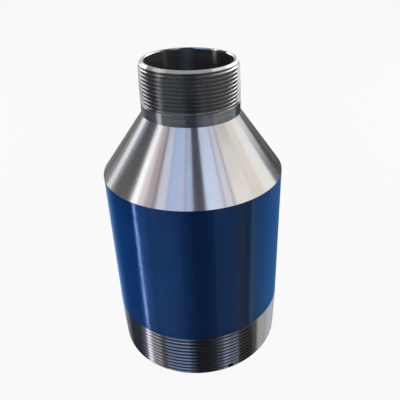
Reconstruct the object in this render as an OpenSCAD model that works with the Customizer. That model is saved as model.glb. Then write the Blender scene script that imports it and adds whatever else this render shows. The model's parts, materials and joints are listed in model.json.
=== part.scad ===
// Concentric swage nipple: one turned and bored length of steel pipe that steps
// from a large threaded end, through a cone, down to a small threaded end.
// It stands on its large end. Millimetres, +Z up along the bore, origin at the
// middle of the large end's face. The taper threads are rings of their true
// section, pitch and taper, without the helix's lead.

/* [Overall] */
// Length from end face to end face
overall_length = 203.2; // [180:0.1:260]
// Length of the cone, along the axis
cone_length = 38; // [25:0.5:60]

/* [Large end] */
// Outside diameter of the body
body_diameter = 114.3; // [100:0.1:130]
// Wall of the body
body_wall = 6.02; // [5:0.01:13.5]
// Length over which the thread blank tapers up to the body
large_taper_length = 26.5; // [15:0.5:60]
// Chamfer at the thread's start
large_chamfer = 2.5; // [1:0.1:3.5]
// Length from the end face to where the thread has run out
large_thread_length = 36; // [20:0.5:60]
// Turns of the thread in 25.4 mm
large_turns_per_inch = 8; // [6:0.5:14]

/* [Small end] */
// Outside diameter of the neck
neck_diameter = 60.3; // [50:0.1:80]
// Wall of the neck
neck_wall = 3.91; // [3.2:0.01:8.8]
// Straight length of the neck, from the cone to the end face
neck_length = 31.2; // [25:0.1:60]
// Length over which the thread blank tapers up to the neck
small_taper_length = 14.8; // [8:0.1:22]
// Chamfer at the thread's start
small_chamfer = 1.8; // [0.6:0.1:2.4]
// Length from the end face to where the thread has run out
small_thread_length = 24.7; // [15:0.1:30]
// Turns of the thread in 25.4 mm
small_turns_per_inch = 11.5; // [8:0.5:18]

/* [Thread form, taper and edges] */
// Angle between the two flanks of a groove
flank_angle = 60; // [55:1:60]
// Flat at the crest and at the root, as a share of the pitch
flat_share = 0.07; // [0.03:0.01:0.15]
// Turns in which the root climbs out to the plain wall
runout_turns = 1.5; // [1:0.1:4]
// Length in which a thread blank's diameter grows by one unit
taper_ratio = 16; // [12:1:20]
// Chamfer that breaks the inner edge at both mouths
mouth_chamfer = 0.6; // [0.2:0.1:0.8]

/* [Hidden] */
body_radius = body_diameter / 2;
neck_radius = neck_diameter / 2;
large_bore_radius = body_radius - body_wall;
small_bore_radius = neck_radius - neck_wall;

// Heights of the corners of the outside
neck_foot = overall_length - neck_length;
shoulder = neck_foot - cone_length;

// The bore's cone starts where walls of full thickness meet at each corner
cone_angle = atan2(body_radius - neck_radius, cone_length);
corner_shift = tan(cone_angle / 2);
bore_shoulder = shoulder - body_wall * corner_shift;
bore_neck_foot = neck_foot - neck_wall * corner_shift;

// A thread blank's radius, a given length before it reaches full size
function blank_radius(full_radius, length) = full_radius - length / taper_ratio / 2;

large_end_radius = blank_radius(body_radius, large_taper_length) - large_chamfer;
large_crest_radius = blank_radius(body_radius, large_taper_length - large_chamfer);
small_end_radius = blank_radius(neck_radius, small_taper_length) - small_chamfer;
small_crest_radius = blank_radius(neck_radius, small_taper_length - small_chamfer);

// The outside, from the large end's face up to the small end's face
outside = [
    [large_end_radius, 0],
    [large_crest_radius, large_chamfer],
    [body_radius, large_taper_length],
    [body_radius, shoulder],
    [neck_radius, neck_foot],
    [neck_radius, overall_length - small_taper_length],
    [small_crest_radius, overall_length - small_chamfer],
    [small_end_radius, overall_length]
];

// The bore, from the small end's mouth down to the large end's mouth
bore = [
    [small_bore_radius + mouth_chamfer, overall_length],
    [small_bore_radius, overall_length - mouth_chamfer],
    [small_bore_radius, bore_neck_foot],
    [large_bore_radius, bore_shoulder],
    [large_bore_radius, mouth_chamfer],
    [large_bore_radius + mouth_chamfer, 0]
];

inch = 25.4;
flank_slope = tan(flank_angle / 2);
// How far a groove's cutter stands out of the wall
cutter_margin = 1;
turned_facets = 60;

// The turned and bored blank, as one revolved wall section
module blank() {
    rotate_extrude($fn = turned_facets)
        polygon(concat(outside, bore));
}

// The grooves of one end's thread, a pitch apart, with the end face at height 0.
// The root follows the taper, then climbs to the plain wall as the thread runs out.
module thread_grooves(full_radius, taper_length, chamfer, thread_length, turns_per_inch) {
    pitch = inch / turns_per_inch;
    depth = pitch * (0.5 - flat_share) / flank_slope;
    half_flat = pitch * flat_share / 2;
    turns = floor((thread_length - chamfer) / pitch);
    for (turn = [0 : turns - 1]) {
        along = chamfer + (turn + 0.5) * pitch;
        tapered_root = blank_radius(full_radius, taper_length - along) - depth;
        runout = max(0, 1 - (thread_length - along) / (runout_turns * pitch));
        root = tapered_root + runout * (full_radius - tapered_root);
        rim = full_radius + cutter_margin;
        half_width = half_flat + (rim - root) * flank_slope;
        translate([0, 0, along])
            rotate_extrude($fn = turned_facets)
                polygon([[root, -half_flat], [rim, -half_width], [rim, half_width], [root, half_flat]]);
    }
}

// The whole fitting: the blank with a thread cut on each end
module swage_nipple() {
    color("silver")
        difference() {
            blank();
            thread_grooves(body_radius, large_taper_length, large_chamfer,
                large_thread_length, large_turns_per_inch);
            translate([0, 0, overall_length])
                mirror([0, 0, 1])
                    thread_grooves(neck_radius, small_taper_length, small_chamfer,
                        small_thread_length, small_turns_per_inch);
        }
}

swage_nipple();
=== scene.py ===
import json
import math

import bpy
from mathutils import Matrix, Vector


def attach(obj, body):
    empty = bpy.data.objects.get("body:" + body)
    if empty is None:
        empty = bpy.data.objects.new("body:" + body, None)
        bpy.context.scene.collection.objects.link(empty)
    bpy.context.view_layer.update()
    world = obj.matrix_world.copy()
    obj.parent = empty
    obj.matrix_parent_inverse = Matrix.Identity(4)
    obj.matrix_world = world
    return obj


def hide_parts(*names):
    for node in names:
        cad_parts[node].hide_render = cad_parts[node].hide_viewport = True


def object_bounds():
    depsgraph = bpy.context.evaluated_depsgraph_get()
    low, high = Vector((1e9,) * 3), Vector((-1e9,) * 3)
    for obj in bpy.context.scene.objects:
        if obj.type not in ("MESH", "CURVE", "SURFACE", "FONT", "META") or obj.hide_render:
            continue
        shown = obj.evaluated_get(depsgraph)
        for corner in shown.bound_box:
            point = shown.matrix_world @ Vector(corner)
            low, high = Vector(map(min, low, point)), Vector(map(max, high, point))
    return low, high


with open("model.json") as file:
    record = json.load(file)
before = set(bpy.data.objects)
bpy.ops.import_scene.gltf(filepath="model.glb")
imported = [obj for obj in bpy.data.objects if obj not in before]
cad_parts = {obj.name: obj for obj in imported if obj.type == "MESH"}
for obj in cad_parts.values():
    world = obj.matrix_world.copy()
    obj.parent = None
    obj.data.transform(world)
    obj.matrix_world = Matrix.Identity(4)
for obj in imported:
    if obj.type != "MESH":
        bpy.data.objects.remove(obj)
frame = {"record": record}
cadLow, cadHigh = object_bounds()
mounts = {mount["name"]: mount for mount in frame["record"]["mounts"]}
mm = 0.001
print("frame loaded, height", round(cadHigh.z, 4))


# Small helpers for objects and node trees

def addObject(name, data):
    made = bpy.data.objects.new(name, data)
    bpy.context.scene.collection.objects.link(made)
    return made


def setNode(tree, kind, **settings):
    node = tree.nodes.new(kind)
    for name, value in settings.items():
        setattr(node, name, value)
    return node


def feed(tree, socket, source):
    # a source is another node's socket or a plain value
    if isinstance(source, bpy.types.NodeSocket):
        tree.links.new(source, socket)
    else:
        socket.default_value = source


def calc(tree, operation, *operands, clamp=False):
    node = setNode(tree, "ShaderNodeMath", operation=operation, use_clamp=clamp)
    for socket, operand in zip(node.inputs, operands):
        feed(tree, socket, operand)
    return node.outputs[0]


def blend(tree, low, high, share):
    # low + share * (high - low)
    return calc(tree, "MULTIPLY_ADD", calc(tree, "SUBTRACT", high, low), share, low)


# The fitting's own sizes, in metres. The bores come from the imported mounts.
smallBore = mounts["small_bore"]["dims"]
largeBore = mounts["large_bore"]["dims"]
mouthChamfer = 0.6 * mm
fittingSizes = {
    "Columns": 176,
    "Height": cadHigh.z,
    "Shoulder": 134.0 * mm,
    "Neck Foot": 172.0 * mm,
    "Body Radius": mounts["body_grip"]["dims"]["r_mm"] * mm,
    "Neck Radius": 30.15 * mm,
    "Large Bore": largeBore["r_mm"] * mm,
    "Small Bore": smallBore["r_mm"] * mm,
    "Bore Shoulder": mouthChamfer + largeBore["length_mm"] * mm,
    "Bore Neck Foot": cadHigh.z - mouthChamfer - smallBore["length_mm"] * mm,
    "Mouth Chamfer": mouthChamfer,
    "Paint": 0.05 * mm,
    "Taper": 1 / 32,  # growth of a thread's radius along it
    "Large Thread Length": 36.0 * mm,
    "Large Chamfer": 2.5 * mm,
    "Large Pitch": 25.4 / 8 * mm,
    "Large Crest": 56.322 * mm,  # the crests' radius, carried on to the end face
    "Large Runout": 0.2,  # in turns
    "Large Root Mark": 0.0,  # the least rise that the colour is read from, which sets how far the roots' painted shade goes
    "Small Thread Length": 24.7 * mm,
    "Small Chamfer": 1.8 * mm,
    "Small Pitch": 25.4 / 11.5 * mm,
    "Small Crest": 29.6875 * mm,
    "Small Runout": 0.6,
    "Small Root Mark": 0.35,
}
threadSizes = ["Chamfer", "Pitch", "Crest", "Runout", "Root Mark"]  # what each thread has of its own
threadGrids = {  # rows of faces, and the turns of them that start under the first crest
    "Large": {"Rows": 188, "Turns Below": 2},
    "Small": {"Rows": 192, "Turns Below": 12},
}
bandRows = {"edge": 1, "ring": 2, "wall": 4, "bore": 6, "cone": 10, "paint": 12}  # plain bands
rowsPerTurn = 14
threadFlat = 1 / rowsPerTurn  # the flat at a crest or root, as a share of the pitch
flankSlope = math.tan(math.radians(30))  # flanks stand 60 degrees apart
frontTurn = 0.75  # the front is three quarters of a turn round from +X
neckCrestShare = 0.45  # how far down the chamfer the neck's first crest is, at the front
crestMark = 0.8  # rise that is kept for a crest, below the chamfer's 1
weldDistance = 0.01 * mm
sharpAngle = 35  # edges sharper than this, in degrees, aren't smoothed
finishNames = ["turnedSteel", "threadSteel", "neckSteel", "boreSteel", "bluePaint"]


def newGroup(name, floats, integers=()):
    tree = bpy.data.node_groups.new(name, "GeometryNodeTree")
    for label in integers:
        tree.interface.new_socket(name=label, in_out="INPUT", socket_type="NodeSocketInt")
    for label in floats:
        tree.interface.new_socket(name=label, in_out="INPUT", socket_type="NodeSocketFloat")
    tree.interface.new_socket(name="Geometry", in_out="OUTPUT", socket_type="NodeSocketGeometry")
    return tree, tree.nodes.new("NodeGroupInput").outputs, tree.nodes.new("NodeGroupOutput")


def gridShares(tree, columns, rows):
    # a unit grid, with its share of a turn and its share of the way along
    grid = setNode(tree, "GeometryNodeMeshGrid")
    feed(tree, grid.inputs["Vertices X"], calc(tree, "ADD", columns, 1.0))
    feed(tree, grid.inputs["Vertices Y"], calc(tree, "ADD", rows, 1.0))
    place = setNode(tree, "ShaderNodeSeparateXYZ")
    feed(tree, place.inputs[0], setNode(tree, "GeometryNodeInputPosition").outputs[0])
    turn = calc(tree, "ADD", place.outputs["X"], 0.5)
    along = calc(tree, "ADD", place.outputs["Y"], 0.5)
    return grid.outputs["Mesh"], turn, along


def keep(tree, geometry, kind, domain, name, value):
    # stores a named attribute on the mesh
    node = setNode(tree, "GeometryNodeStoreNamedAttribute", data_type=kind, domain=domain)
    feed(tree, node.inputs["Geometry"], geometry)
    node.inputs["Name"].default_value = name
    feed(tree, node.inputs["Value"], value)
    return node.outputs[0]


def wrapRound(tree, grid, turn, radius, height, finish, rise):
    # lays the grid round the axis, smooths it and keeps its finish and its rise
    angle = calc(tree, "MULTIPLY", turn, 2 * math.pi)
    spot = setNode(tree, "ShaderNodeCombineXYZ")
    feed(tree, spot.inputs["X"], calc(tree, "MULTIPLY", radius, calc(tree, "COSINE", angle)))
    feed(tree, spot.inputs["Y"], calc(tree, "MULTIPLY", radius, calc(tree, "SINE", angle)))
    feed(tree, spot.inputs["Z"], height)
    risen = keep(tree, grid, "FLOAT", "POINT", "rise", rise)
    laid = setNode(tree, "GeometryNodeSetPosition")
    feed(tree, laid.inputs["Geometry"], risen)
    feed(tree, laid.inputs["Position"], spot.outputs[0])
    smooth = setNode(tree, "GeometryNodeSetShadeSmooth")
    feed(tree, smooth.inputs["Geometry"], laid.outputs[0])
    return keep(tree, smooth.outputs[0], "INT", "FACE", "finish", finish)


def plainBandGroup():
    # a cylinder, cone or flat ring between two circles, with a rise of 1 all over
    sizes = ["Start Radius", "Start Height", "End Radius", "End Height"]
    tree, given, result = newGroup("plainBand", sizes, ["Columns", "Rows", "Finish"])
    grid, turn, along = gridShares(tree, given["Columns"], given["Rows"])
    radius = blend(tree, given["Start Radius"], given["End Radius"], along)
    height = blend(tree, given["Start Height"], given["End Height"], along)
    feed(tree, result.inputs[0], wrapRound(tree, grid, turn, radius, height, given["Finish"], 1.0))
    return tree


def threadBandGroup():
    # a right-hand taper thread that starts under a chamfer and runs out on the plain wall
    sizes = ["Start Height", "End Height", "Face Height", "First Crest", "Full Radius", "Taper"]
    integers = ["Columns", "Rows", "Finish", "Turns Below"]
    tree, given, result = newGroup("threadBand", sizes + threadSizes, integers)
    grid, turn, along = gridShares(tree, given["Columns"], given["Rows"])

    # rows climb with the helix, half a row off the crest's middle, so each edge lies on a row
    row = calc(tree, "MULTIPLY_ADD", along, given["Rows"], 0.5)
    climbed = calc(tree, "SUBTRACT", calc(tree, "DIVIDE", row, float(rowsPerTurn)), given["Turns Below"])
    lead = calc(tree, "SUBTRACT", calc(tree, "ADD", climbed, turn), frontTurn)
    helix = calc(tree, "MULTIPLY_ADD", lead, given["Pitch"], given["First Crest"])
    above = calc(tree, "MAXIMUM", helix, given["Start Height"])
    height = calc(tree, "MINIMUM", above, given["End Height"])
    inward = calc(tree, "ABSOLUTE", calc(tree, "SUBTRACT", height, given["Face Height"]))
    length = calc(tree, "SUBTRACT", given["End Height"], given["Start Height"])
    flank = calc(tree, "ABSOLUTE", calc(tree, "MULTIPLY_ADD", calc(tree, "FRACT", climbed), 2.0, -1.0))
    flankSpan = 1.0 - 2.0 * threadFlat
    rise = calc(tree, "DIVIDE", calc(tree, "SUBTRACT", flank, threadFlat), flankSpan, clamp=True)

    # the root follows the taper and climbs to the plain wall in the run-out
    depth = calc(tree, "MULTIPLY", given["Pitch"], (0.5 - threadFlat) / flankSlope)
    crestLine = calc(tree, "MULTIPLY_ADD", inward, given["Taper"], given["Crest"])
    crestLine = calc(tree, "MINIMUM", crestLine, given["Full Radius"])
    rootLine = calc(tree, "SUBTRACT", crestLine, depth)
    runout = calc(tree, "MULTIPLY", given["Runout"], given["Pitch"])
    runoutStart = calc(tree, "SUBTRACT", length, runout)
    runoutShare = calc(tree, "DIVIDE", calc(tree, "SUBTRACT", inward, runoutStart), runout, clamp=True)
    root = blend(tree, rootLine, given["Full Radius"], runoutShare)
    toothed = calc(tree, "MINIMUM", calc(tree, "MULTIPLY_ADD", rise, depth, root), given["Full Radius"])
    endRadius = calc(tree, "SUBTRACT", given["Crest"], given["Chamfer"])
    chamfer = calc(tree, "ADD", endRadius, inward)
    radius = calc(tree, "MINIMUM", toothed, chamfer)
    chamfered = calc(tree, "GREATER_THAN", toothed, chamfer)
    # the rise that the colour is read from: low at the roots and flanks, where it gives painted shade in
    # the grooves, and full on the chamfer
    cut = calc(tree, "MULTIPLY", rise, crestMark)
    shown = calc(tree, "MAXIMUM", calc(tree, "MAXIMUM", cut, given["Root Mark"]), chamfered)
    feed(tree, result.inputs[0], wrapRound(tree, grid, turn, radius, height, given["Finish"], shown))
    return tree


def joinBands(tree, bands, finishes):
    # joins the bands into one mesh and dresses each in its finish
    joined = setNode(tree, "GeometryNodeJoinGeometry")
    for band in reversed(bands):
        tree.links.new(band, joined.inputs[0])
    merged = setNode(tree, "GeometryNodeMergeByDistance")
    feed(tree, merged.inputs["Geometry"], joined.outputs[0])
    merged.inputs["Distance"].default_value = weldDistance
    shaped = setNode(tree, "GeometryNodeRealizeInstances")
    feed(tree, shaped.inputs[0], merged.outputs[0])
    dressed = shaped.outputs[0]
    worn = setNode(tree, "GeometryNodeInputNamedAttribute", data_type="INT")
    worn.inputs["Name"].default_value = "finish"
    for name, material in finishes.items():
        wears = setNode(tree, "FunctionNodeCompare", data_type="INT", operation="EQUAL")
        feed(tree, wears.inputs[2], worn.outputs["Attribute"])  # 2 and 3 take whole numbers
        wears.inputs[3].default_value = finishNames.index(name)
        coat = setNode(tree, "GeometryNodeSetMaterial")
        feed(tree, coat.inputs["Geometry"], dressed)
        feed(tree, coat.inputs["Selection"], wears.outputs[0])
        coat.inputs["Material"].default_value = material
        dressed = coat.outputs[0]
    return dressed


plainBand = plainBandGroup()
threadBand = threadBandGroup()


class BandStack:
    # collects the bands of one turned piece, which all share its columns
    def __init__(self, name):
        floats = [label for label in fittingSizes if label != "Columns"]
        self.tree, self.given, self.result = newGroup(name, floats, ["Columns"])
        self.bands = []

    def add(self, group, finish, sizes):
        node = setNode(self.tree, "GeometryNodeGroup", node_tree=group)
        feed(self.tree, node.inputs["Columns"], self.given["Columns"])
        node.inputs["Finish"].default_value = finishNames.index(finish)
        for name, source in sizes.items():
            feed(self.tree, node.inputs[name], source)
        self.bands.append(node.outputs["Geometry"])

    def path(self, finish, kind, *corners):
        # plain bands through a row of corners, each a radius and a height
        for start, end in zip(corners, corners[1:]):
            sizes = {"Rows": bandRows[kind], "Start Radius": start[0], "Start Height": start[1]}
            sizes.update({"End Radius": end[0], "End Height": end[1]})
            self.add(plainBand, finish, sizes)

    def thread(self, size, start, end, face, firstCrest, wall):
        # the large or the small thread, between two heights and measured from its end face
        sizes = {"Start Height": start, "End Height": end, "Face Height": face}
        sizes.update({"First Crest": firstCrest, "Full Radius": wall, "Taper": self.given["Taper"]})
        sizes.update(threadGrids[size])
        for name in threadSizes:
            sizes[name] = self.given[size + " " + name]
        self.add(threadBand, "threadSteel", sizes)

    def join(self, finishes):
        feed(self.tree, self.result.inputs[0], joinBands(self.tree, self.bands, finishes))
        return self.tree


def fittingTree(finishes):
    # up the outside, across the small end, down the bore and across the large end
    stack = BandStack("turnedFitting")
    tree, given = stack.tree, stack.given
    top, edge = given["Height"], given["Mouth Chamfer"]
    body, neck = given["Body Radius"], given["Neck Radius"]
    paintFoot, paintHead = given["Large Thread Length"], given["Shoulder"]
    paintedWall = calc(tree, "SUBTRACT", body, given["Paint"])
    largeEnd = calc(tree, "SUBTRACT", given["Large Crest"], given["Large Chamfer"])
    smallEnd = calc(tree, "SUBTRACT", given["Small Crest"], given["Small Chamfer"])
    largeMouth = calc(tree, "ADD", given["Large Bore"], edge)
    smallMouth = calc(tree, "ADD", given["Small Bore"], edge)
    neckThreadFoot = calc(tree, "SUBTRACT", top, given["Small Thread Length"])
    neckCrest = calc(tree, "MULTIPLY_ADD", given["Small Chamfer"], -neckCrestShare, top)
    mouthFoot = calc(tree, "SUBTRACT", top, edge)
    boreTop = (given["Small Bore"], mouthFoot)
    boreNeckFoot = (given["Small Bore"], given["Bore Neck Foot"])
    boreShoulder = (given["Large Bore"], given["Bore Shoulder"])
    boreEnd = (given["Large Bore"], edge)
    stack.path("turnedSteel", "ring", (largeMouth, 0.0), (largeEnd, 0.0))
    stack.thread("Large", 0.0, paintFoot, 0.0, given["Large Chamfer"], body)
    stack.path("turnedSteel", "edge", (body, paintFoot), (paintedWall, paintFoot))
    stack.path("turnedSteel", "wall", (paintedWall, paintFoot), (paintedWall, paintHead))
    stack.path("turnedSteel", "edge", (paintedWall, paintHead), (body, paintHead))
    stack.path("turnedSteel", "cone", (body, paintHead), (neck, given["Neck Foot"]))
    stack.path("neckSteel", "wall", (neck, given["Neck Foot"]), (neck, neckThreadFoot))
    stack.thread("Small", neckThreadFoot, top, top, neckCrest, neck)
    stack.path("turnedSteel", "ring", (smallEnd, top), (smallMouth, top), boreTop)
    stack.path("boreSteel", "bore", boreTop, boreNeckFoot, boreShoulder, boreEnd)
    stack.path("turnedSteel", "ring", boreEnd, (largeMouth, 0.0))
    return stack.join(finishes)


def paintTree(finishes):
    # a thin closed coat, flush with the pipe's outside
    stack = BandStack("paintCoat")
    outside = stack.given["Body Radius"]
    inside = calc(stack.tree, "SUBTRACT", outside, stack.given["Paint"])
    foot, head = stack.given["Large Thread Length"], stack.given["Shoulder"]
    stack.path("bluePaint", "edge", (inside, foot), (outside, foot))
    stack.path("bluePaint", "paint", (outside, foot), (outside, head))
    stack.path("bluePaint", "edge", (outside, head), (inside, head))
    stack.path("bluePaint", "paint", (inside, head), (inside, foot))
    return stack.join(finishes)


# Finishes

noiseRange = (0.3, 0.7)  # where most of a noise texture's values lie


def newMaterial(name):
    material = bpy.data.materials.new(name)
    material.use_nodes = True
    tree = material.node_tree
    return material, tree, tree.nodes["Principled BSDF"]


def objectPlace(tree):
    return setNode(tree, "ShaderNodeTexCoord").outputs["Object"]


def objectAxes(tree):
    # X, Y and Z on the piece, each as a socket
    place = setNode(tree, "ShaderNodeSeparateXYZ")
    feed(tree, place.inputs[0], objectPlace(tree))
    return place.outputs


def colourRamp(tree, source, stops):
    # stops are pairs of a place and a colour
    node = setNode(tree, "ShaderNodeValToRGB")
    feed(tree, node.inputs["Fac"], source)
    elements = node.color_ramp.elements
    while len(elements) < len(stops):
        elements.new(0.5)
    for element, (place, colour) in zip(elements, stops):
        element.position = place
        element.color = (*colour, 1.0)
    return node.outputs["Color"]


def spread(tree, source, low, high):
    # maps a noise onto a range
    node = setNode(tree, "ShaderNodeMapRange")
    feed(tree, node.inputs["Value"], source)
    for name, value in zip(("From Min", "From Max", "To Min", "To Max"), (*noiseRange, low, high)):
        node.inputs[name].default_value = value
    return node.outputs["Result"]


def latheRings(tree, look):
    # noise that changes only along the cut, so that it makes fine rings round the axis
    axes = objectAxes(tree)
    across = calc(tree, "POWER", axes["X"], 2.0)
    deep = calc(tree, "POWER", axes["Y"], 2.0)
    radius = calc(tree, "SQRT", calc(tree, "ADD", across, deep))
    along = calc(tree, "SUBTRACT", axes["Z"], radius)
    noise = setNode(tree, "ShaderNodeTexNoise", noise_dimensions="1D")
    feed(tree, noise.inputs["W"], along)
    noise.inputs["Scale"].default_value = look["scale"]
    noise.inputs["Detail"].default_value = look["detail"]
    return noise.outputs["Fac"]


def patches(tree, look):
    # noise in soft patches, for handling marks and for the paint's drift and peel
    noise = setNode(tree, "ShaderNodeTexNoise")
    feed(tree, noise.inputs["Vector"], objectPlace(tree))
    noise.inputs["Scale"].default_value = look["scale"]
    noise.inputs["Detail"].default_value = look["detail"]
    return noise.outputs["Fac"]


def brushRound(tree, shader, anisotropic):
    # the cut runs round the axis, so highlights stretch across it
    tangent = setNode(tree, "ShaderNodeTangent", direction_type="RADIAL", axis="Z")
    feed(tree, shader.inputs["Tangent"], tangent.outputs[0])
    shader.inputs["Anisotropic"].default_value = anisotropic
    shader.inputs["Anisotropic Rotation"].default_value = 0.25  # a quarter turn


def mixColour(tree, share, low, high):
    node = setNode(tree, "ShaderNodeMix", data_type="RGBA")
    feed(tree, node.inputs[0], share)
    for socket, colour in ((node.inputs[6], low), (node.inputs[7], high)):  # 6 and 7 take colours
        feed(tree, socket, (*colour, 1.0) if isinstance(colour, tuple) else colour)
    return node.outputs[2]


def nearSpot(tree, place, size):
    # 1 at a place on the part, falling to 0 a given size away from it
    apart = setNode(tree, "ShaderNodeVectorMath", operation="DISTANCE")
    feed(tree, apart.inputs[0], objectPlace(tree))
    feed(tree, apart.inputs[1], place)
    return calc(tree, "MULTIPLY_ADD", apart.outputs["Value"], -1.0 / size, 1.0, clamp=True)


def bumpFrom(tree, shader, source, look):
    # feeds the shader's normal, and gives it back for the coat's
    bump = setNode(tree, "ShaderNodeBump")
    bump.inputs["Strength"].default_value = look["strength"]
    bump.inputs["Distance"].default_value = look["depth"]
    feed(tree, bump.inputs["Height"], source)
    feed(tree, shader.inputs["Normal"], bump.outputs[0])
    return bump.outputs[0]


# streaks along the bore: a painted glint on the seam near the small mouth, and two paler runs
boreGlintAndRuns = [
    {"turn": 52.5, "width": 5.0, "length": 10.0 * mm, "colour": (0.95, 0.95, 0.95)},
    {"turn": 93.0, "width": 13.0, "length": 160.0 * mm, "colour": (0.2, 0.235, 0.28)},
    {"turn": 124.5, "width": 6.0, "length": 160.0 * mm, "colour": (0.2, 0.2, 0.205)},
]
steelSettings = {
    "turnedSteel": {
        "dark": (0.685, 0.675, 0.67), "light": (0.715, 0.705, 0.7),
        "rough": (0.17, 0.22), "grain": 0.9, "streaks": [],
    },
    "neckSteel": {
        "dark": (0.42, 0.42, 0.44), "light": (0.54, 0.54, 0.55),
        "rough": (0.17, 0.22), "grain": 0.85, "streaks": [],
    },
    "boreSteel": {
        "dark": (0.07, 0.07, 0.075), "light": (0.13, 0.13, 0.14),
        "rough": (0.35, 0.5), "grain": 0.5, "streaks": boreGlintAndRuns,
    },
}
latheMarks = {"scale": 900.0, "detail": 3.0, "strength": 0.05, "depth": 0.05 * mm}
handlingMarks = {"scale": 60.0, "detail": 3.0}


def streakShare(tree, streak):
    # 1 along the streak's middle at the small mouth, falling to 0 at its sides and its foot
    axes = objectAxes(tree)
    turn = calc(tree, "ARCTAN2", axes["Y"], axes["X"])
    off = calc(tree, "ABSOLUTE", calc(tree, "SUBTRACT", turn, math.radians(streak["turn"])))
    line = calc(tree, "MULTIPLY_ADD", off, -1.0 / math.radians(streak["width"]), 1.0, clamp=True)
    aboveFoot = calc(tree, "SUBTRACT", axes["Z"], cadHigh.z - streak["length"])
    fade = calc(tree, "DIVIDE", aboveFoot, streak["length"], clamp=True)
    return calc(tree, "MULTIPLY", line, fade)


def steelMaterial(name):
    look = steelSettings[name]
    material, tree, shader = newMaterial(name)
    rings = latheRings(tree, latheMarks)
    worn = patches(tree, handlingMarks)
    colour = colourRamp(tree, rings, list(zip(noiseRange, (look["dark"], look["light"]))))
    # the bore's streaks, the first of them a painted glint
    for streak in look["streaks"]:
        colour = mixColour(tree, streakShare(tree, streak), colour, streak["colour"])
    feed(tree, shader.inputs["Base Color"], colour)
    feed(tree, shader.inputs["Roughness"], spread(tree, worn, *look["rough"]))
    shader.inputs["Metallic"].default_value = 1.0
    brushRound(tree, shader, look["grain"])
    bumpFrom(tree, shader, rings, latheMarks)
    return material


# the thread's tones darken from the chamfer through crest and flank to root: painted shade on the thread
# and in its grooves; the chamfer keeps the turned steel's own tone
threadSettings = {
    "root": (0.27, 0.27, 0.275), "flank": (0.37, 0.37, 0.375), "crest": (0.46, 0.46, 0.465),
    "chamfer": (0.68, 0.675, 0.67),
    "flankShadeMark": 0.35 * crestMark,
    "rough": (0.1, 0.14), "neckRough": 0.08, "grain": 0.5,  # neckRough is added on the neck
    "marks": {"scale": 300.0, "detail": 2.0},
    # the nick is a near-black spot: painted shade in place of its dent
    "nick": {
        "turn": 20.2, "radius": 56.2 * mm, "height": 3.6 * mm, "size": 2.8 * mm, "hardness": 2.0,
        "colour": (0.01, 0.01, 0.01),
    },
}


def nickShadeShare(tree, nick):
    # 1 in the nick on the first crest of the large thread, drawn as a dark spot of painted shade in place
    # of its dent
    turn = math.radians(nick["turn"])
    place = (nick["radius"] * math.sin(turn), -nick["radius"] * math.cos(turn), nick["height"])
    return calc(tree, "MULTIPLY", nearSpot(tree, place, nick["size"]), nick["hardness"], clamp=True)


def threadMaterial():
    look = threadSettings
    material, tree, shader = newMaterial("threadSteel")
    rise = setNode(tree, "ShaderNodeAttribute", attribute_name="rise").outputs["Fac"]
    marks = {"root": 0.0, "flank": look["flankShadeMark"], "crest": crestMark, "chamfer": 1.0}
    # the colour follows the rise, so painted shade darkens the thread into its grooves
    colour = colourRamp(tree, rise, [(mark, look[name]) for name, mark in marks.items()])
    # the nick's painted shade
    colour = mixColour(tree, nickShadeShare(tree, look["nick"]), colour, look["nick"]["colour"])
    feed(tree, shader.inputs["Base Color"], colour)
    # the neck's thread is the duller of the two
    high = calc(tree, "GREATER_THAN", objectAxes(tree)["Z"], cadHigh.z / 2)
    rough = spread(tree, patches(tree, look["marks"]), *look["rough"])
    feed(tree, shader.inputs["Roughness"], calc(tree, "MULTIPLY_ADD", high, look["neckRough"], rough))
    shader.inputs["Metallic"].default_value = 1.0
    brushRound(tree, shader, look["grain"])
    return material


paintSettings = {
    # deep and bright are each a place in the drift and a colour
    "deep": (0.35, (0.005, 0.078, 0.305)), "bright": (0.65, (0.006, 0.088, 0.345)),
    "drift": {"scale": 35.0, "detail": 4.0},
    "rough": (0.13, 0.17), "grain": 0.5, "metallic": 0.66,
    "coat": 0.35, "coatRough": 0.06,
    "peel": {"scale": 450.0, "detail": 2.0, "strength": 0.5, "depth": 0.1 * mm},
}


def paintMaterial():
    look = paintSettings
    material, tree, shader = newMaterial("bluePaint")
    drift = patches(tree, look["drift"])
    feed(tree, shader.inputs["Base Color"], colourRamp(tree, drift, [look["deep"], look["bright"]]))
    feed(tree, shader.inputs["Roughness"], spread(tree, drift, *look["rough"]))
    shader.inputs["Metallic"].default_value = look["metallic"]
    shader.inputs["Coat Weight"].default_value = look["coat"]
    shader.inputs["Coat Roughness"].default_value = look["coatRough"]
    brushRound(tree, shader, look["grain"])
    peel = bumpFrom(tree, shader, patches(tree, look["peel"]), look["peel"])
    feed(tree, shader.inputs["Coat Normal"], peel)
    return material


materials = {name: steelMaterial(name) for name in steelSettings}
materials["threadSteel"] = threadMaterial()
materials["bluePaint"] = paintMaterial()
print("finishes made,", len(materials))


# The fitting and its paint, each as one closed mesh

def bakePiece(name, tree):
    holder = addObject(name + "Holder", bpy.data.meshes.new(name + "Seed"))
    modifier = holder.modifiers.new(name, "NODES")
    modifier.node_group = tree
    for item in tree.interface.items_tree:
        if item.in_out == "INPUT":
            modifier[item.identifier] = fittingSizes[item.name]
    evaluated = holder.evaluated_get(bpy.context.evaluated_depsgraph_get())
    mesh = bpy.data.meshes.new_from_object(evaluated)
    bpy.data.objects.remove(holder)
    mesh.name = name
    mesh.set_sharp_from_angle(angle=math.radians(sharpAngle))
    piece = addObject(name, mesh)
    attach(piece, "root")
    return piece


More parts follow.
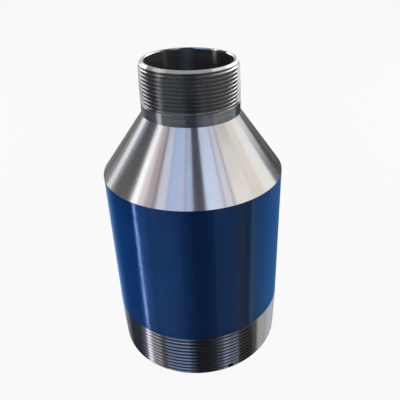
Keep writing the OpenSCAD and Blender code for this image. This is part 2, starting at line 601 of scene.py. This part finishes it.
steelFinishes = {name: materials[name] for name in finishNames if name != "bluePaint"}
fitting = bakePiece("threadedFitting", fittingTree(steelFinishes))
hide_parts("swage_nipple")
paint = bakePiece("bluePaintCoat", paintTree({"bluePaint": materials["bluePaint"]}))
print("fitting and paint made,", len(fitting.data.polygons), "and", len(paint.data.polygons), "faces")


# Camera, from the photograph's view. Angles are in degrees, and middlePixels is the column of
# its line of sight.

cameraSettings = {
    "place": Vector((0.0, -281.9 * mm, 271.8 * mm)),
    "pitch": 30.27,
    "yaw": 6.16,
    "roll": 0.47,
    "focalPixels": 477.2,
    "middlePixels": 240,
    "framePixels": 400,
    "sensorWidth": 36.0,
    "nearest": 0.01,
}


def makeCamera():
    pitch, yaw, roll = (math.radians(cameraSettings[name]) for name in ("pitch", "yaw", "roll"))
    ahead = Vector((math.sin(yaw) * math.cos(pitch), math.cos(yaw) * math.cos(pitch), -math.sin(pitch)))
    right = Vector((math.cos(yaw), -math.sin(yaw), 0.0))
    up = right.cross(ahead)
    leanRight = math.cos(roll) * right + math.sin(roll) * up
    leanUp = math.cos(roll) * up - math.sin(roll) * right
    lens = bpy.data.cameras.new("camera")
    lens.sensor_width = cameraSettings["sensorWidth"]
    lens.lens = lens.sensor_width * cameraSettings["focalPixels"] / cameraSettings["framePixels"]
    lens.shift_x = 0.5 - cameraSettings["middlePixels"] / cameraSettings["framePixels"]
    lens.clip_start = cameraSettings["nearest"]
    camera = addObject("camera", lens)
    turn = Matrix((leanRight, leanUp, -ahead)).transposed().to_4x4()
    camera.matrix_world = Matrix.Translation(cameraSettings["place"]) @ turn
    bpy.context.scene.camera = camera


# Floor, world and lamps

floorSettings = {"half": 6.0, "colour": (0.5, 0.5, 0.5, 1.0), "rough": 0.9, "paleShare": 0.93}
worldSettings = {"colour": (1.0, 1.0, 1.0, 1.0), "ambient": 0.11}  # ambient is the light it gives
lampTarget = Vector((0.0, 0.0, 0.08))
lampSettings = {
    "leftLamp": {"place": (-1.1, 0.31, 0.32), "size": 0.6, "power": 12.5},
    "rightLamp": {"place": (1.1, 0.31, 0.32), "size": 0.6, "power": 12.5},
}


def seenShare(tree, share):
    # share for rays that show the background, in view, in metal or through glass
    path = setNode(tree, "ShaderNodeLightPath").outputs
    seen = calc(tree, "ADD", path["Is Camera Ray"], path["Is Glossy Ray"])
    seen = calc(tree, "ADD", seen, path["Is Transmission Ray"], clamp=True)
    return calc(tree, "MULTIPLY", seen, share)


def makeFloor():
    mesh = bpy.data.meshes.new("floor")
    half = floorSettings["half"]
    corners = [(-half, -half, 0), (half, -half, 0), (half, half, 0), (-half, half, 0)]
    mesh.from_pydata(corners, [], [(0, 1, 2, 3)])
    floor = addObject("floor", mesh)
    material, tree, shader = newMaterial("paleFloor")
    shader.inputs["Base Color"].default_value = floorSettings["colour"]
    shader.inputs["Roughness"].default_value = floorSettings["rough"]
    glow = setNode(tree, "ShaderNodeEmission")
    mixed = setNode(tree, "ShaderNodeMixShader")
    feed(tree, mixed.inputs[0], seenShare(tree, floorSettings["paleShare"]))
    feed(tree, mixed.inputs[1], shader.outputs[0])
    feed(tree, mixed.inputs[2], glow.outputs[0])
    feed(tree, tree.nodes["Material Output"].inputs["Surface"], mixed.outputs[0])
    mesh.materials.append(material)
    floor.visible_glossy = False


def makeWorld():
    world = bpy.data.worlds.new("paleStudio")
    world.use_nodes = True
    bpy.context.scene.world = world
    tree = world.node_tree
    background = tree.nodes["Background"]
    background.inputs["Color"].default_value = worldSettings["colour"]
    ambient = worldSettings["ambient"]
    feed(tree, background.inputs["Strength"], calc(tree, "ADD", seenShare(tree, 1.0 - ambient), ambient))


def makeLamps():
    for name, look in lampSettings.items():
        light = bpy.data.lights.new(name, "AREA")
        light.shape = "SQUARE"
        light.size = look["size"]
        light.energy = look["power"]
        lamp = addObject(name, light)
        lamp.location = look["place"]
        lamp.rotation_euler = (lampTarget - lamp.location).to_track_quat("-Z", "Y").to_euler()
        lamp.visible_glossy = False


# Reflection cards. Each zone of the fitting has a row of strips, which is what the camera
# sees mirrored in it. A strip runs from the last one's end to its own, in degrees round the
# axis, with 0 at the front and the right side positive, and a tone, 1 being white. A zone's
# low and high ends are each a radius and a height, and lean is how far its surface faces up.

cardSettings = {"distance": 2.0, "rows": 6, "columnAngle": 3, "margin": 0.08}
shoulder, neckFoot, neckTop = fittingSizes["Shoulder"], fittingSizes["Neck Foot"], cadHigh.z
bodyRadius, neckRadius = fittingSizes["Body Radius"], fittingSizes["Neck Radius"]
threadHead = fittingSizes["Large Thread Length"]
rimInside, rimOutside = 0.0255, 0.029  # a little more than the small end's face
coneLean = math.degrees(math.atan2(bodyRadius - neckRadius, neckFoot - shoulder))
reflectionZones = {
    "cone": {
        "lean": (coneLean - 8, coneLean + 3), "start": -100,
        "low": (bodyRadius, shoulder), "high": (neckRadius, neckFoot),
        "strips": [
            (-74, 0.15), (-67, 0.25), (-60.5, 0.88), (-57, 0.33), (-42.5, 0.14), (-40, 0.35),
            (-35.5, 1.6), (-30.5, (0.9, 0.82, 0.83)), (-26, (0.56, 0.48, 0.48)),
            (-23.5, (0.34, 0.3, 0.35)), (-17.2, (0.84, 0.86, 1.03)), (-16.4, (0.36, 0.44, 0.64)),
            (-10, (0.57, 0.71, 1.02)), (-6.6, (0.68, 0.72, 1.04)), (-5.7, (0.34, 0.4, 0.6)),
            (-1.5, (0.6, 0.73, 1.02)), (5.8, (0.08, 0.08, 0.11)), (13, (0.86, 1.0, 1.3)),
            (16.5, (0.84, 0.92, 1.14)), (17.4, 0.33), (22.5, (0.95, 0.95, 1.08)), (23.4, 0.25),
            (36, (1.15, 1.1, 1.04)), (46, (1.03, 0.94, 0.84)), (59, (1.13, 1.1, 1.04)),
            (61, 0.3), (75, 0.05), (100, 0.12),
        ],
    },
    "neckWall": {
        "lean": (-3, 3), "start": -90,
        "low": (neckRadius, neckFoot), "high": (neckRadius, neckTop),
        "strips": [
            (-67, 0.24), (-60, (0.16, 0.165, 0.19)), (-40.5, (0.08, 0.086, 0.105)),
            (-34, (0.8, 0.8, 0.88)), (-7, (0.095, 0.1, 0.12)), (5, (0.012, 0.03, 0.068)),
            (11, (0.085, 0.11, 0.165)), (23, (0.14, 0.15, 0.19)), (58, (0.27, 0.28, 0.295)),
            (90, (0.06, 0.06, 0.078)),
        ],
    },
    "neckFlanks": {
        "lean": (57, 72), "start": -90,
        "low": (neckRadius, neckFoot), "high": (neckRadius, neckTop),
        "strips": [
            (-75, 0.6), (-66, 1.8), (-55.7, 3.6), (-38, 0.02), (-30, 1.6), (-24, 0.05),
            (-1, 0.025), (5, (0.008, 0.014, 0.02)), (11, 0.08), (23, 0.16),
            (32, (0.58, 0.58, 0.53)), (41, (1.12, 1.12, 1.02)), (47, (1.75, 1.75, 1.6)),
            (52, 2.6), (64, 3.8), (74, 1.3), (90, 0.7),
        ],
    },
    "rimFace": {
        "lean": (90, 90), "start": -180,
        "low": (rimInside, neckTop), "high": (rimOutside, neckTop),
        "strips": [(180, 1.0)],
    },
    "rimChamfer": {
        "lean": (38, 52), "start": -110, "distance": 0.07,
        "low": (neckRadius, neckTop), "high": (fittingSizes["Small Bore"], neckTop),
        "strips": [
            (-70, 0.8), (-56, 2.4), (-44, 0.33), (-28, 0.75), (25, 0.42), (45, 1.0), (50, 1.9),
            (66, 3.8), (110, 1.3),
        ],
    },
    "body": {
        "lean": (0, 0), "start": -90,
        "low": (bodyRadius, threadHead), "high": (bodyRadius, shoulder),
        "strips": [
            (-72, (0.3, 0.48, 0.72)), (-66, (0.19, 0.34, 0.59)), (-62, (0.07, 0.18, 0.41)),
            (-58, (0.04, 0.13, 0.31)), (-54, (0.025, 0.085, 0.21)), (-38.7, (0.03, 0.095, 0.215)),
            (-37.2, (3.9, 4.2, 3.8)), (-31, (0.27, 0.37, 0.48)), (-26, (0.19, 0.28, 0.33)),
            (-14, (0.25, 0.34, 0.385)), (-10, (0.235, 0.3, 0.31)), (-6, (0.14, 0.19, 0.22)),
            (-3, (0.11, 0.13, 0.145)), (6, (0.07, 0.078, 0.085)), (10, (0.1, 0.112, 0.125)),
            (22, (0.205, 0.205, 0.19)), (26, (0.27, 0.2, 0.125)), (30, (0.3, 0.18, 0.06)),
            (34.5, (0.17, 0.1, 0.03)), (37.3, (0.48, 0.42, 0.24)), (42, (0.21, 0.265, 0.26)),
            (46, (0.14, 0.28, 0.35)), (54, (0.11, 0.265, 0.37)), (58, (0.09, 0.235, 0.41)),
            (62, (0.065, 0.2, 0.4)), (70, (0.06, 0.18, 0.375)), (76, (0.05, 0.2, 0.4)),
            (90, (0.03, 0.12, 0.22)),
        ],
    },
    "baseFlanks": {
        "lean": (55, 69), "start": -90,
        "low": (bodyRadius, 0.0), "high": (bodyRadius, threadHead),
        "strips": [
            (-73, (1.05, 1.15, 1.3)), (-66, (0.39, 0.43, 0.5)), (-62, (0.15, 0.165, 0.2)),
            (-47, (0.045, 0.052, 0.07)), (-42.5, (0.15, 0.16, 0.22)), (-38.5, (1.9, 1.92, 2.3)),
            (-30, (0.6, 0.58, 0.61)), (-26, (0.15, 0.14, 0.17)), (-18, (0.3, 0.39, 0.66)),
            (-9, (0.31, 0.45, 0.76)), (-5.5, (0.12, 0.17, 0.24)), (9.5, (0.02, 0.02, 0.018)),
            (14, (0.13, 0.17, 0.22)), (18, (0.47, 0.57, 0.77)), (25.5, (0.26, 0.35, 0.47)),
            (38, 0.003), (43.2, 0.12), (56, (0.78, 0.78, 0.72)), (90, (0.95, 0.98, 1.06)),
        ],
    },
}


def makeCardMaterial():
    material, tree, shader = newMaterial("reflectionCard")
    tree.nodes.remove(shader)
    tone = setNode(tree, "ShaderNodeAttribute", attribute_name="tone")
    glow = setNode(tree, "ShaderNodeEmission")
    feed(tree, glow.inputs["Color"], tone.outputs["Color"])
    feed(tree, tree.nodes["Material Output"].inputs["Surface"], glow.outputs[0])
    return material


cardMaterial = makeCardMaterial()


def showInMetalOnly(name, corners, faces, tones):
    mesh = bpy.data.meshes.new(name)
    mesh.from_pydata(corners, [], faces)
    colours = mesh.attributes.new("tone", "FLOAT_COLOR", "FACE")
    for item, tone in zip(colours.data, tones):
        item.color = (*tone, 1.0)
    mesh.materials.append(cardMaterial)
    cards = addObject(name, mesh)
    for ray in ("camera", "diffuse", "shadow", "transmission", "volume_scatter"):
        setattr(cards, "visible_" + ray, False)


def mirrored(radius, height, angle, lean, distance):
    # where a sight line goes on to from a point of the fitting, as a place on the cards
    facing = Vector((math.sin(angle) * math.cos(lean), -math.cos(angle) * math.cos(lean), math.sin(lean)))
    point = Vector((radius * math.sin(angle), -radius * math.cos(angle), height))
    toCamera = (cameraSettings["place"] - point).normalized()
    return point + (2 * facing.dot(toCamera) * facing - toCamera) * distance


def makeCards(name, zone):
    corners, faces, tones = [], [], []
    (lowRadius, lowHeight), (highRadius, highHeight) = zone["low"], zone["high"]
    lowLean, highLean = zone["lean"]
    distance = zone.get("distance", cardSettings["distance"])
    rows, margin = cardSettings["rows"], cardSettings["margin"]
    start = zone["start"]
    for end, tone in zone["strips"]:
        columns = max(1, round((end - start) / cardSettings["columnAngle"]))
        first = len(corners)
        for column in range(columns + 1):
            angle = math.radians(start + (end - start) * column / columns)
            for row in range(rows + 1):
                share = -margin + (1 + 2 * margin) * row / rows
                radius = lowRadius + (highRadius - lowRadius) * share
                height = lowHeight + (highHeight - lowHeight) * share
                lean = math.radians(lowLean + (highLean - lowLean) * share)
                corners.append(mirrored(radius, height, angle, lean, distance))
        for column in range(columns):
            for row in range(rows):
                corner = first + column * (rows + 1) + row
                faces.append((corner, corner + 1, corner + rows + 2, corner + rows + 1))
                tones.append(tone if isinstance(tone, tuple) else (tone, tone, tone))
        start = end
    showInMetalOnly(name + "Cards", corners, faces, tones)


# tones go up to a row, and the panels are pale columns in some of the low rows
roomSettings = {
    "distance": 3.0, "columns": 36, "rows": 18,
    "tones": [(8, 0.06), (11, 0.6), (18, 0.38)],
    "panels": {"columns": (2, 3, 11, 12, 20, 21, 29, 30), "rows": (5, 6, 7), "tone": 0.7},
}


def makeRoom():
    # a dim floor and pale walls all round, for what the cards leave open
    columns, rows, panels = (roomSettings[name] for name in ("columns", "rows", "panels"))
    corners, faces, tones = [], [], []
    for row in range(rows + 1):
        slope = math.pi * (row / rows - 0.5)
        across = math.cos(slope)
        for column in range(columns):
            angle = 2 * math.pi * column / columns
            outward = Vector((math.cos(angle) * across, math.sin(angle) * across, math.sin(slope)))
            corners.append(outward * roomSettings["distance"])
    for row in range(rows):
        for column in range(columns):
            after = (column + 1) % columns
            first, second = row * columns, (row + 1) * columns
            faces.append((first + column, first + after, second + after, second + column))
            tone = next(level for end, level in roomSettings["tones"] if row < end)
            if row in panels["rows"] and column in panels["columns"]:
                tone = panels["tone"]
            tones.append((tone, tone, tone))
    showInMetalOnly("roomCards", corners, faces, tones)


makeCamera()
makeFloor()
makeWorld()
makeLamps()
makeRoom()
for zoneName, zoneSettings in reflectionZones.items():
    makeCards(zoneName, zoneSettings)
bpy.context.scene.view_settings.view_transform = "Standard"
print("stage set")
